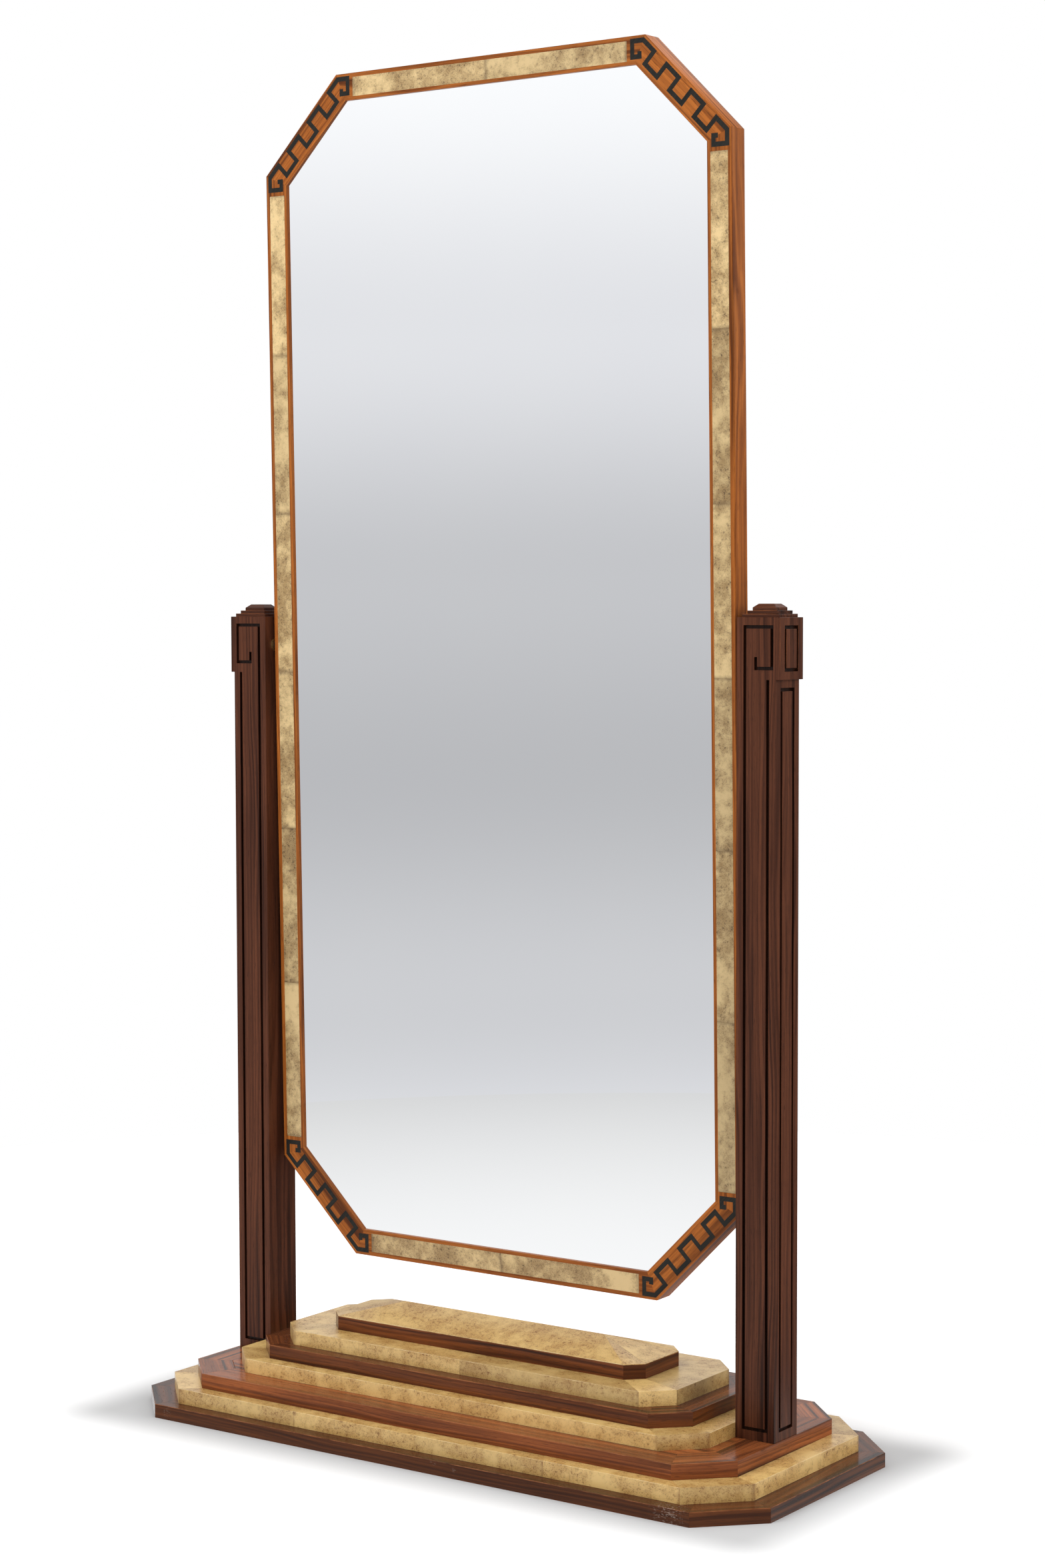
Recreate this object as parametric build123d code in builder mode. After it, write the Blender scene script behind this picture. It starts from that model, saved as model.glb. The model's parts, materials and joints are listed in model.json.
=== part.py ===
from build123d import *
import math
import os
from typing import NamedTuple

# A cheval mirror: a stepped base of rosewood and parchment tiers, two carved posts bolted to it,
# and an octagonal framed mirror that tilts on brass pivots between the post heads.
# X is the width, Y runs from the front (-Y) to the back, Z is up, and all sizes are millimetres.
# The origin is the centre of the plinth's underside.

os.makedirs("parts", exist_ok=True)

# Distance between the posts, which sets the mirror's width and the length of the base. The posts'
# height follows from the mirror's.
post_spacing = 810
post_width = 60

# Heights of the seven base tiers and of the hipped crown above them
plinth_height = 20
lower_tier_height = 22
deck_height = 21.5
middle_tier_height = 20.5
upper_step_height = 20
upper_tier_height = 21
crown_height = 20
cap_rise = 20
ridge_half_length = 173

# How far each tier stands in from the one below: the usual ledge, and the wide ledges that carry
# the posts and the crown
ledge_length = 33.5
upper_ledge_length = 34.5
ledge_depth = 21
ledge_cut = 6.5
deck_overhang = 1
post_ledge_depth = 41
post_ledge_cut = 13
crown_ledge_length = 66
crown_ledge_depth = 40
crown_ledge_cut = 15
plinth_depth = 458
plinth_cut = 76

# Joinery of the tiers
tier_rail_width = 50
crown_rail_width = 24
parchment_thickness = 0.8
parchment_tuck = 3
glue_line = 0.05
lower_tier_panels = 4
other_tier_panels = 2
tier_screw_diameter = 5
tier_screw_head_diameter = 10
tier_screw_length = 55
tier_screw_inset = 1
tier_screw_spacing_x = 220
tier_screw_spacing_y = 200
screw_hole_clearance = 0.2

# Posts
tenon_width = 36
tenon_depth = 48
tenon_length = 12
joint_clearance = 0.2
head_height = 82
head_cheek_thickness = 6
groove_width = 4.5
groove_depth = 4
groove_margin = 12.5
groove_foot_margin = 15
hook_offset = 16.5
hook_rise = 15
side_panel_margin = 14.5
side_panel_end_margin = 13
cap_step_height = 4.5
cap_step_inset = 5
cap_bevel_inset = 6
cap_bevel_height = 5
cap_side_height = 4

# Post fixings
bolt_diameter = 8
bolt_head_diameter = 13
bolt_head_height = 8
bolt_spacing = 28
bolt_hole_diameter = 9
bolt_recess_diameter = 24
bolt_recess_depth = 11
washer_diameter = 22
washer_thickness = 2
insert_diameter = 12
insert_length = 26
insert_clearance = 0.05

# Mirror: it hangs from pivots above its middle, clear of the crown's ridge
side_gap = 9
mirror_height = 1709
mirror_floor_gap = 59.5
pivot_rise = 40
mirror_cut = 133
frame_depth = 32
frame_face_width = 38
frame_lip = 3
front_reach = 10.5
pivot_y = -8
tilt = 1
glass_thickness = 5
glass_lap = 9
glass_clearance = 1
bead_width = 8
bead_height = 10
back_panel_thickness = 6
back_panel_lap = 8
back_panel_clearance = 0.5
back_panel_recess = 0.5

# Inlay of the mirror frame
outer_band = 6
strip_width = 27
strip_thickness = 1
strip_clearance = 0.05
cross_band = 5.5
stile_panels = 6
rail_panels = 2
key_thickness = 1.5
key_clearance = 0.05
key_line_width = 6.5
key_outer_margin = 3.75
key_inner_margin = 6.75
key_reach = 24
key_pitch = 27
key_return = 11.5
key_tick = 7

# Mitre splines and the screws of the back panel
spline_thickness = 4
spline_length = 24
spline_width = 18
spline_inset = 9
spline_depth = 15
panel_screw_diameter = 3.4
panel_screw_length = 16
panel_screw_head_diameter = 7
panel_screw_head_height = 1.2
stile_screws = 4
rail_screws = 2

# Pivots
pin_diameter = 8
pin_length_in_post = 24
pin_length_in_stile = 14
pin_shoulder_diameter = 10
pivot_running_clearance = 0.05
bush_diameter = 14
bush_length = 30
bush_flange_diameter = 19
bush_flange_thickness = 3
friction_washer_diameter = 13
friction_washer_thickness = 1
pivot_axial_play = 0.2
stile_insert_diameter = 11
stile_insert_length = 18

# Derived levels
plinth_top = plinth_height
lower_tier_top = plinth_top + lower_tier_height
deck_top = lower_tier_top + deck_height
middle_tier_top = deck_top + middle_tier_height
upper_step_top = middle_tier_top + upper_step_height
upper_tier_top = upper_step_top + upper_tier_height
crown_top = upper_tier_top + crown_height
pivot_to_top = mirror_height / 2 - pivot_rise
pivot_to_bottom = mirror_height / 2 + pivot_rise
pivot_height = crown_top + cap_rise + mirror_floor_gap + pivot_to_bottom
post_top = pivot_height + head_height / 2
head_bottom = post_top - head_height
post_inner = post_spacing / 2
post_outer = post_inner + post_width
post_middle = post_inner + post_width / 2
head_outer = post_outer + head_cheek_thickness

# An outline moved inwards by an inset keeps its 45 degree corners, and they shorten by this share
CORNER_SHRINK = 2 - math.sqrt(2)
SIDES = (("left", -1), ("right", 1))


def cut_rectangle(x_reach, low, high, cut):
    """The eight corners of a rectangle with its corners cut at 45 degrees, counterclockwise from
    the left end of its low side."""
    return [
        (cut - x_reach, low),
        (x_reach - cut, low),
        (x_reach, low + cut),
        (x_reach, high - cut),
        (x_reach - cut, high),
        (cut - x_reach, high),
        (-x_reach, high - cut),
        (-x_reach, low + cut),
    ]


class Tier(NamedTuple):
    """One step of the base, given by its half sizes, its cut corners and its levels."""

    half_length: float
    half_depth: float
    cut: float
    bottom: float
    top: float

    def outline(self, inset=0):
        half_depth = self.half_depth - inset
        cut = self.cut - inset * CORNER_SHRINK
        return cut_rectangle(self.half_length - inset, -half_depth, half_depth, cut)

    @property
    def height(self):
        return self.top - self.bottom


def stepped_in(below, length, depth, cut, height):
    """The tier that stands on another one, smaller by the given ledges."""
    return Tier(
        below.half_length - length,
        below.half_depth - depth,
        below.cut - cut,
        below.top,
        below.top + height,
    )


plinth = Tier(
    post_outer + deck_overhang + 2 * ledge_length,
    plinth_depth / 2,
    plinth_cut,
    0,
    plinth_height,
)
lower_tier = stepped_in(plinth, ledge_length, ledge_depth, ledge_cut, lower_tier_height)
deck = stepped_in(lower_tier, ledge_length, ledge_depth, ledge_cut, deck_height)
post_ledge_length = deck_overhang + post_width
middle_tier = stepped_in(
    deck, post_ledge_length, post_ledge_depth, post_ledge_cut, middle_tier_height
)
upper_step = stepped_in(
    middle_tier, upper_ledge_length, ledge_depth, ledge_cut, upper_step_height
)
upper_tier = stepped_in(
    upper_step, upper_ledge_length, ledge_depth, ledge_cut, upper_tier_height
)
crown = stepped_in(
    upper_tier, crown_ledge_length, crown_ledge_depth, crown_ledge_cut, crown_height
)

post_points = [(side * post_middle, 0) for name, side in SIDES]
bolt_points = [(x, y) for x, _ in post_points for y in (-bolt_spacing / 2, bolt_spacing / 2)]
tenon_bottom = deck_top - tenon_length


def save(name, *solids):
    """Labels the piece, or the group of separate solids, and writes its file."""
    piece = solids[0] if len(solids) == 1 else Compound(children=list(solids))
    piece.label = name
    export_step(piece, f"parts/{name}.step")


def tier_slab(tier, outline):
    """A full-height board of a tier, bored for the post bolts and tenons that pass through it."""
    with BuildPart() as slab:
        with BuildSketch(Plane.XY.offset(tier.bottom)):
            Polygon(*outline, align=None)
        extrude(amount=tier.height)
        with BuildSketch(Plane.XY.offset(tier.bottom)):
            with Locations(*bolt_points):
                Circle(bolt_hole_diameter / 2)
        extrude(amount=tier.height, mode=Mode.SUBTRACT)
        if tier is deck:
            with BuildSketch(Plane.XY.offset(tenon_bottom)):
                with Locations(*post_points):
                    Rectangle(tenon_width + 2 * joint_clearance, tenon_depth + 2 * joint_clearance)
            extrude(amount=tenon_length, mode=Mode.SUBTRACT)
        if tier is plinth:
            with BuildSketch(Plane.XY.offset(tier.bottom)):
                with Locations(*bolt_points):
                    Circle(bolt_recess_diameter / 2)
            extrude(amount=bolt_recess_depth, mode=Mode.SUBTRACT)
    return slab.part


# Screws that hold the three lowest tiers together from below
screw_tip = tier_screw_inset + tier_screw_length
screw_hole_radius = tier_screw_diameter / 2 + screw_hole_clearance
screw_head_radius = tier_screw_head_diameter / 2
screw_cone_height = screw_head_radius - tier_screw_diameter / 2


def screw_bored(board, tier):
    """A board with the screw holes that reach its level, countersunk from below in the plinth."""
    top = min(tier.top, screw_tip)
    with BuildPart() as bored:
        add(board)
        with BuildSketch(Plane.XY.offset(tier.bottom)):
            with GridLocations(tier_screw_spacing_x, tier_screw_spacing_y, 4, 2):
                Circle(screw_hole_radius)
        extrude(amount=top - tier.bottom, mode=Mode.SUBTRACT)
        if tier is plinth:
            with GridLocations(tier_screw_spacing_x, tier_screw_spacing_y, 4, 2):
                Cone(
                    screw_head_radius + screw_hole_clearance + tier_screw_inset,
                    screw_hole_radius,
                    screw_cone_height + tier_screw_inset,
                    align=(Align.CENTER, Align.CENTER, Align.MIN),
                    mode=Mode.SUBTRACT,
                )
    return bored.part


def tier_frame(tier, rail_width):
    """Eight mitred rosewood rails round a tier."""
    outer = tier.outline()
    inner = tier.outline(rail_width)
    rails = []
    for k in range(len(outer)):
        n = (k + 1) % len(outer)
        rails.append(tier_slab(tier, [outer[k], outer[n], inner[n], inner[k]]))
    return rails


# Rosewood tiers: a mitred frame round an infill panel
save("plinth_frame", *tier_frame(plinth, tier_rail_width))
save("plinth_panel", screw_bored(tier_slab(plinth, plinth.outline(tier_rail_width)), plinth))
save("deck_frame", *tier_frame(deck, tier_rail_width))
save("deck_panel", screw_bored(tier_slab(deck, deck.outline(tier_rail_width)), deck))
save("upper_step_frame", *tier_frame(upper_step, tier_rail_width))
save("upper_step_panel", tier_slab(upper_step, upper_step.outline(tier_rail_width)))
save("crown_frame", *tier_frame(crown, crown_rail_width))
save("crown_panel", tier_slab(crown, crown.outline(crown_rail_width)))


def wrapped_core(tier, above):
    """The board inside a parchment tier: full height under the tier above, and let in by the
    parchment's thickness on its sides and on the ledge that shows."""
    with BuildPart() as core:
        with BuildSketch(Plane.XY.offset(tier.bottom)):
            Polygon(*tier.outline(parchment_thickness), align=None)
        extrude(amount=tier.height - parchment_thickness)
        with BuildSketch(Plane.XY.offset(tier.bottom)):
            Polygon(*above.outline(parchment_tuck), align=None)
        extrude(amount=tier.height)
        if tier is lower_tier:
            with BuildSketch(Plane.XY.offset(tier.bottom)):
                with Locations(*bolt_points):
                    Circle(bolt_hole_diameter / 2)
            extrude(amount=tier.height, mode=Mode.SUBTRACT)
    return core.part


def between(start, end, share):
    return tuple(a + (b - a) * share for a, b in zip(start, end))


def parchment_panels(tier, above, core, long_side_panels):
    """Parchment glued over the edge and ledge of a tier in panels, mitred at the corners and
    butted along the two long sides."""
    outer = tier.outline()
    inner = above.outline(parchment_tuck)
    panels = []
    for k in range(len(outer)):
        n = (k + 1) % len(outer)
        count = long_side_panels if k % 4 == 0 else 1
        for j in range(count):
            near, far = j / count, (j + 1) / count
            corners = [
                between(outer[k], outer[n], near),
                between(outer[k], outer[n], far),
                between(inner[k], inner[n], far),
                between(inner[k], inner[n], near),
            ]
            with BuildPart() as panel:
                with BuildSketch(Plane.XY.offset(tier.bottom)):
                    Polygon(*corners, align=None)
                extrude(amount=tier.height)
                add(core, mode=Mode.SUBTRACT)
            panels.append(panel.part)
    return panels


for name, tier, above, count in (
    ("lower_tier", lower_tier, deck, lower_tier_panels),
    ("middle_tier", middle_tier, upper_step, other_tier_panels),
    ("upper_tier", upper_tier, crown, other_tier_panels),
):
    core = wrapped_core(tier, above)
    panels = parchment_panels(tier, above, core, count)
    save(f"{name}_core", screw_bored(core, tier) if tier is lower_tier else core)
    save(f"{name}_parchment", *panels)

# Hipped cap of the crown: eight parchment facets rise from the crown's outline to a short ridge
ridge_left = (-ridge_half_length, 0)
ridge_right = (ridge_half_length, 0)
facet_tops = [(ridge_right, ridge_left)]
facet_tops += 3 * [(ridge_right,)]
facet_tops += [(ridge_left, ridge_right)]
facet_tops += 3 * [(ridge_left,)]
cap_outline = crown.outline()
core_rise = cap_rise - parchment_thickness - glue_line


def slope_plane(k, level):
    """The plane through side k of the crown's outline at a level, rising to the ridge."""
    x, y = cap_outline[k]
    end_x, end_y = cap_outline[(k + 1) % len(cap_outline)]
    ridge_x, ridge_y = facet_tops[k][0]
    along = Vector(end_x - x, end_y - y, 0)
    rise = Vector(ridge_x - x, ridge_y - y, core_rise)
    return Plane((x, y, level), x_dir=along, z_dir=along.cross(rise))


with BuildPart() as crown_cap:
    with BuildSketch(Plane.XY.offset(crown_top)):
        Polygon(*cap_outline, align=None)
    extrude(amount=cap_rise)
    for k in range(len(cap_outline)):
        split(bisect_by=slope_plane(k, crown_top), keep=Keep.BOTTOM)

facets = []
for k, tops in enumerate(facet_tops):
    with BuildPart() as facet:
        with BuildSketch(Plane.XY.offset(crown_top)):
            Polygon(cap_outline[k], cap_outline[(k + 1) % len(cap_outline)], *tops, align=None)
        extrude(amount=cap_rise)
        underside = crown_top + glue_line
        split(bisect_by=slope_plane(k, underside + parchment_thickness), keep=Keep.BOTTOM)
        split(bisect_by=slope_plane(k, underside), keep=Keep.TOP)
    facets.append(facet.part)

save("crown_cap", crown_cap.part)
save("crown_parchment", *facets)

# Long screws of the base
screws = []
for location in GridLocations(tier_screw_spacing_x, tier_screw_spacing_y, 4, 2):
    with BuildPart() as screw:
        with Locations(Plane.XY.offset(tier_screw_inset) * location):
            Cone(
                screw_head_radius,
                tier_screw_diameter / 2,
                screw_cone_height,
                align=(Align.CENTER, Align.CENTER, Align.MIN),
            )
            Cylinder(
                tier_screw_diameter / 2,
                tier_screw_length,
                align=(Align.CENTER, Align.CENTER, Align.MIN),
            )
    screws.append(screw.part)
save("tier_screws", *screws)

# Posts: one long Greek key groove on the front, and a grooved panel on the outboard side
insert_bottom = tenon_bottom
post_bore_depth = insert_length + bolt_diameter
groove_foot = deck_top + groove_foot_margin
groove_top = post_top - groove_margin
head_groove_bottom = head_bottom + groove_foot_margin
panel_top = head_bottom - side_panel_end_margin
panel_half_width = post_width / 2 - side_panel_margin


def front_groove(side):
    """The path of the front groove: down the shaft, across the foot, up the inner side and round
    the head to the hook."""
    near = post_inner + groove_margin
    far = post_outer - groove_margin
    head_far = head_outer - groove_margin
    hook = near + hook_offset
    path = [
        (far, head_bottom),
        (far, groove_foot),
        (near, groove_foot),
        (near, groove_top),
        (head_far, groove_top),
        (head_far, head_groove_bottom),
        (hook, head_groove_bottom),
        (hook, head_groove_bottom + hook_rise),
    ]
    return [(side * x, z) for x, z in path]


def side_panel_groove(face_x, side, bottom, top):
    """A closed rectangular groove that leaves a raised panel on a post's outboard face."""
    plane = Plane((face_x, 0, (bottom + top) / 2), x_dir=(0, side, 0), z_dir=(side, 0, 0))
    width = 2 * panel_half_width
    height = top - bottom
    with BuildPart() as groove:
        with BuildSketch(plane):
            Rectangle(width + groove_width, height + groove_width)
            Rectangle(width - groove_width, height - groove_width, mode=Mode.SUBTRACT)
        extrude(amount=-groove_depth)
    return groove.part


for name, side in SIDES:
    inner_face = Plane(
        (side * post_inner, pivot_y, pivot_height), x_dir=(0, side, 0), z_dir=(side, 0, 0)
    )
    shaft_groove = side_panel_groove(side * post_outer, side, groove_foot, panel_top)
    head_groove = side_panel_groove(
        side * head_outer,
        side,
        head_bottom + side_panel_end_margin,
        post_top - side_panel_end_margin,
    )
    with BuildPart() as post:
        with BuildSketch(Plane.XY.offset(deck_top)):
            with Locations((side * post_middle, 0)):
                Rectangle(post_width, post_width)
        extrude(amount=post_top - deck_top)
        with BuildSketch(Plane.XY.offset(tenon_bottom)):
            with Locations((side * post_middle, 0)):
                Rectangle(tenon_width, tenon_depth)
        extrude(amount=tenon_length)
        with BuildSketch(Plane.XZ.offset(post_width / 2)):
            with BuildLine():
                Polyline(*front_groove(side))
            trace(line_width=groove_width)
        extrude(amount=-groove_depth, mode=Mode.SUBTRACT)
        add(shaft_groove, mode=Mode.SUBTRACT)
        with BuildSketch(Plane.XY.offset(insert_bottom)):
            with Locations(*[point for point in bolt_points if point[0] * side > 0]):
                Circle(insert_diameter / 2 + insert_clearance)
        extrude(amount=post_bore_depth, mode=Mode.SUBTRACT)
        with BuildSketch(inner_face):
            Circle(bush_diameter / 2 + insert_clearance)
        extrude(amount=bush_length, mode=Mode.SUBTRACT)
    with BuildPart() as cheek:
        with BuildSketch(Plane.XY.offset(head_bottom)):
            with Locations((side * (post_outer + head_cheek_thickness / 2), 0)):
                Rectangle(head_cheek_thickness, post_width)
        extrude(amount=head_height)
        add(head_groove, mode=Mode.SUBTRACT)
    save(f"{name}_post", post.part)
    save(f"{name}_head_cheek", cheek.part)

# Stepped cap on each post head
head_width = post_width + head_cheek_thickness
head_middle = post_inner + head_width / 2
cap_bevel_angle = math.degrees(math.atan2(cap_bevel_inset, cap_bevel_height))
for name, side in SIDES:
    level = post_top
    for step, piece_name in enumerate(("cap_base", "cap_step", "cap_finial"), start=1):
        inset = step * cap_step_inset
        last = piece_name == "cap_finial"
        with BuildPart() as piece:
            with BuildSketch(Plane.XY.offset(level)):
                with Locations((side * head_middle, 0)):
                    Rectangle(head_width - 2 * inset, post_width - 2 * inset)
            extrude(amount=cap_side_height if last else cap_step_height)
            if last:
                with BuildSketch(Plane.XY.offset(level + cap_side_height)):
                    with Locations((side * head_middle, 0)):
                        Rectangle(head_width - 2 * inset, post_width - 2 * inset)
                extrude(amount=cap_bevel_height, taper=cap_bevel_angle)
        save(f"{name}_{piece_name}", piece.part)
        level += cap_step_height

# Post fixings, driven from under the plinth
washer_bottom = bolt_recess_depth - washer_thickness
bolt_shank_length = tenon_bottom + insert_length - washer_bottom
bolts = []
washers = []
inserts = []
for x, y in bolt_points:
    with BuildPart() as bolt:
        with BuildSketch(Plane.XY.offset(washer_bottom)):
            with Locations((x, y)):
                Circle(bolt_diameter / 2)
        extrude(amount=bolt_shank_length)
        with BuildSketch(Plane.XY.offset(washer_bottom)):
            with Locations((x, y)):
                Circle(bolt_head_diameter / 2)
        extrude(amount=-bolt_head_height)
    with BuildPart() as washer:
        with BuildSketch(Plane.XY.offset(washer_bottom)):
            with Locations((x, y)):
                Circle(washer_diameter / 2)
                Circle(bolt_diameter / 2 + insert_clearance, mode=Mode.SUBTRACT)
        extrude(amount=washer_thickness)
    with BuildPart() as insert:
        with BuildSketch(Plane.XY.offset(insert_bottom)):
            with Locations((x, y)):
                Circle(insert_diameter / 2)
                Circle(bolt_diameter / 2 + insert_clearance, mode=Mode.SUBTRACT)
        extrude(amount=insert_length)
    bolts.append(bolt.part)
    washers.append(washer.part)
    inserts.append(insert.part)
save("post_bolts", *bolts)
save("post_washers", *washers)
save("post_inserts", *inserts)

# Pivots: a flanged brass bush in each post, a friction washer on its flange, and a shouldered pin
# screwed into an insert in the stile
mirror_half_width = post_inner - side_gap
pin_radius = pin_diameter / 2
bush_bore_radius = pin_radius + pivot_running_clearance
flange_reach = side_gap - bush_flange_thickness
shoulder_length = flange_reach - friction_washer_thickness - pivot_axial_play


def side_plane(x_distance, side):
    """A plane across the pivot axis, facing outwards on the given side."""
    return Plane(
        (side * x_distance, pivot_y, pivot_height), x_dir=(0, side, 0), z_dir=(side, 0, 0)
    )


for name, side in SIDES:
    flange_face = side_plane(post_inner - bush_flange_thickness, side)
    stile_face = side_plane(mirror_half_width, side)
    with BuildPart() as bush:
        with BuildSketch(flange_face):
            Circle(bush_flange_diameter / 2)
        extrude(amount=bush_flange_thickness)
        with BuildSketch(side_plane(post_inner, side)):
            Circle(bush_diameter / 2)
        extrude(amount=bush_length)
        with BuildSketch(flange_face):
            Circle(bush_bore_radius)
        extrude(amount=bush_flange_thickness + bush_length, mode=Mode.SUBTRACT)
    with BuildPart() as friction_washer:
        with BuildSketch(flange_face):
            Circle(friction_washer_diameter / 2)
            Circle(bush_bore_radius, mode=Mode.SUBTRACT)
        extrude(amount=-friction_washer_thickness)
    with BuildPart() as pin:
        with BuildSketch(stile_face):
            Circle(pin_radius)
        extrude(amount=side_gap + pin_length_in_post)
        with BuildSketch(stile_face):
            Circle(pin_radius)
        extrude(amount=-pin_length_in_stile)
        with BuildSketch(stile_face):
            Circle(pin_shoulder_diameter / 2)
        extrude(amount=shoulder_length)
    with BuildPart() as stile_insert:
        with BuildSketch(stile_face):
            Circle(stile_insert_diameter / 2)
            Circle(pin_radius + insert_clearance, mode=Mode.SUBTRACT)
        extrude(amount=-stile_insert_length)
    save(f"{name}_pivot_bush", bush.part)
    save(f"{name}_friction_washer", friction_washer.part)
    save(f"{name}_pivot_pin", pin.part)
    save(f"{name}_stile_insert", stile_insert.part)

# The mirror's own frame of reference: X to the right, Y up the glass, Z out of its front face,
# with its top tilted towards the front about the pivot axis
lean = math.radians(tilt)
pivot_plane = Plane(
    (0, pivot_y, pivot_height), x_dir=(1, 0, 0), z_dir=(0, -math.cos(lean), -math.sin(lean))
)
face_plane = pivot_plane.offset(front_reach)
back_plane = face_plane.offset(-frame_depth)
glass_rebate = frame_face_width - glass_lap
panel_rebate = glass_rebate - back_panel_lap
panel_front = frame_depth - back_panel_recess - back_panel_thickness
panel_screw_inset = panel_rebate + back_panel_lap / 2


def mirror_outline(inset=0):
    cut = mirror_cut - inset * CORNER_SHRINK
    low = inset - pivot_to_bottom
    return cut_rectangle(mirror_half_width - inset, low, pivot_to_top - inset, cut)


# Greek key of the corners, drawn from the two outer edges that would meet at the uncut corner
key_outer = key_outer_margin + key_line_width / 2
key_inner = frame_face_width - key_inner_margin - key_line_width / 2
key_end = mirror_cut + key_reach - key_line_width / 2
key_elbow = mirror_cut + key_outer * (math.sqrt(2) - 1)


def key_path():
    """The key's centre line: a hook on the rail, six crossings of the corner piece, a hook on the
    stile."""
    hook = [
        (key_end - key_return, key_inner - key_tick),
        (key_end - key_return, key_inner),
        (key_end, key_inner),
        (key_end, key_outer),
        (key_elbow, key_outer),
    ]
    crossings = []
    for j in range(6):
        along = (j - 2.5) * key_pitch
        levels = (key_outer, key_inner) if j % 2 == 0 else (key_inner, key_outer)
        for level in levels:
            middle = mirror_cut / 2 + level / math.sqrt(2)
            crossings.append((middle - along / math.sqrt(2), middle + along / math.sqrt(2)))
    return hook + crossings + [(y, x) for x, y in reversed(hook)]


def key_band(side, upward, line_width):
    """The key of one corner as a solid let in from the front face."""
    edge = pivot_to_top if upward > 0 else pivot_to_bottom
    path = [(side * (mirror_half_width - x), upward * (edge - y)) for x, y in key_path()]
    with BuildPart() as band:
        with BuildSketch(face_plane):
            with BuildLine():
                Polyline(*path)
            trace(line_width=line_width)
        extrude(amount=-key_thickness)
    return band.part


key_recesses = []
for level, upward in (("top", 1), ("bottom", -1)):
    for name, side in SIDES:
        save(f"{level}_{name}_key_inlay", key_band(side, upward, key_line_width))
        key_recesses.append(key_band(side, upward, key_line_width + 2 * key_clearance))

# Places of the splines that lock the mitres, and of the screws that hold the back panel
outer_corners = mirror_outline()
inner_corners = mirror_outline(frame_face_width)
spline_places = []
for outer_point, inner_point in zip(outer_corners, inner_corners):
    along = Vector(*inner_point) - Vector(*outer_point)
    reach = spline_inset / math.cos(math.pi / 8) + spline_width / 2
    middle = Vector(*outer_point) + along.normalized() * reach
    turn = math.degrees(math.atan2(along.Y, along.X))
    spline_places.append(Location((middle.X, middle.Y, 0), (0, 0, turn)))

screw_line = mirror_outline(panel_screw_inset)
screws_per_side = [rail_screws, 1, stile_screws, 1] * 2
panel_screw_points = []
for k, count in enumerate(screws_per_side):
    n = (k + 1) % len(screw_line)
    panel_screw_points += [
        between(screw_line[k], screw_line[n], (j + 0.5) / count) for j in range(count)
    ]

# Inlaid parchment strips of the stiles and rails
strip_end = mirror_cut + key_reach + cross_band
strip_middle = outer_band + strip_width / 2
stile_strip_length = mirror_height - 2 * strip_end
rail_strip_length = 2 * (mirror_half_width - strip_end)
stile_middle = (pivot_to_top - pivot_to_bottom) / 2
stile_strip_x = mirror_half_width - strip_middle


class Strip(NamedTuple):
    """A parchment strip: the middle of its pocket, its length, its panels and its direction."""

    centre: tuple
    length: float
    panels: int
    upright: bool


strips = {
    "bottom_rail": Strip((0, strip_middle - pivot_to_bottom), rail_strip_length, rail_panels, False),
    "right_stile": Strip((stile_strip_x, stile_middle), stile_strip_length, stile_panels, True),
    "top_rail": Strip((0, pivot_to_top - strip_middle), rail_strip_length, rail_panels, False),
    "left_stile": Strip((-stile_strip_x, stile_middle), stile_strip_length, stile_panels, True),
}


def frame_member(k, strip):
    """One mitred member of the mirror frame, rebated for the glass and the back panel and let in
    for its inlay."""
    n = (k + 1) % len(outer_corners)
    section = (outer_corners[k], outer_corners[n], inner_corners[n], inner_corners[k])
    with BuildPart() as member:
        with BuildSketch(back_plane):
            Polygon(*section, align=None)
        extrude(amount=frame_depth)
        with BuildSketch(back_plane):
            Polygon(*mirror_outline(glass_rebate), align=None)
        extrude(amount=frame_depth - frame_lip, mode=Mode.SUBTRACT)
        with BuildSketch(back_plane):
            Polygon(*mirror_outline(panel_rebate), align=None)
        extrude(amount=frame_depth - panel_front, mode=Mode.SUBTRACT)
        with BuildSketch(face_plane.offset(-panel_front)):
            with Locations(*panel_screw_points):
                Circle(panel_screw_diameter / 2 + insert_clearance)
        extrude(amount=panel_screw_length - back_panel_thickness, mode=Mode.SUBTRACT)
        with BuildSketch(face_plane.offset(-spline_depth - spline_thickness)):
            with Locations(spline_places[k], spline_places[n]):
                Rectangle(spline_width, spline_length)
        extrude(amount=spline_thickness, mode=Mode.SUBTRACT)
        for recess in key_recesses:
            add(recess, mode=Mode.SUBTRACT)
        if strip:
            across = strip_width + 2 * strip_clearance
            along = strip.length + 2 * strip_clearance
            with BuildSketch(face_plane):
                with Locations(strip.centre):
                    Rectangle(along, across, rotation=90 if strip.upright else 0)
            extrude(amount=-strip_thickness, mode=Mode.SUBTRACT)
            if strip.upright:
                side = math.copysign(1, strip.centre[0])
                with BuildSketch(side_plane(mirror_half_width, side)):
                    Circle(stile_insert_diameter / 2 + insert_clearance)
                extrude(amount=-stile_insert_length, mode=Mode.SUBTRACT)
    return member.part


member_names = (
    "bottom_rail",
    "bottom_right_corner",
    "right_stile",
    "top_right_corner",
    "top_rail",
    "top_left_corner",
    "left_stile",
    "bottom_left_corner",
)
for k, name in enumerate(member_names):
    save(name, frame_member(k, strips.get(name)))

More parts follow.
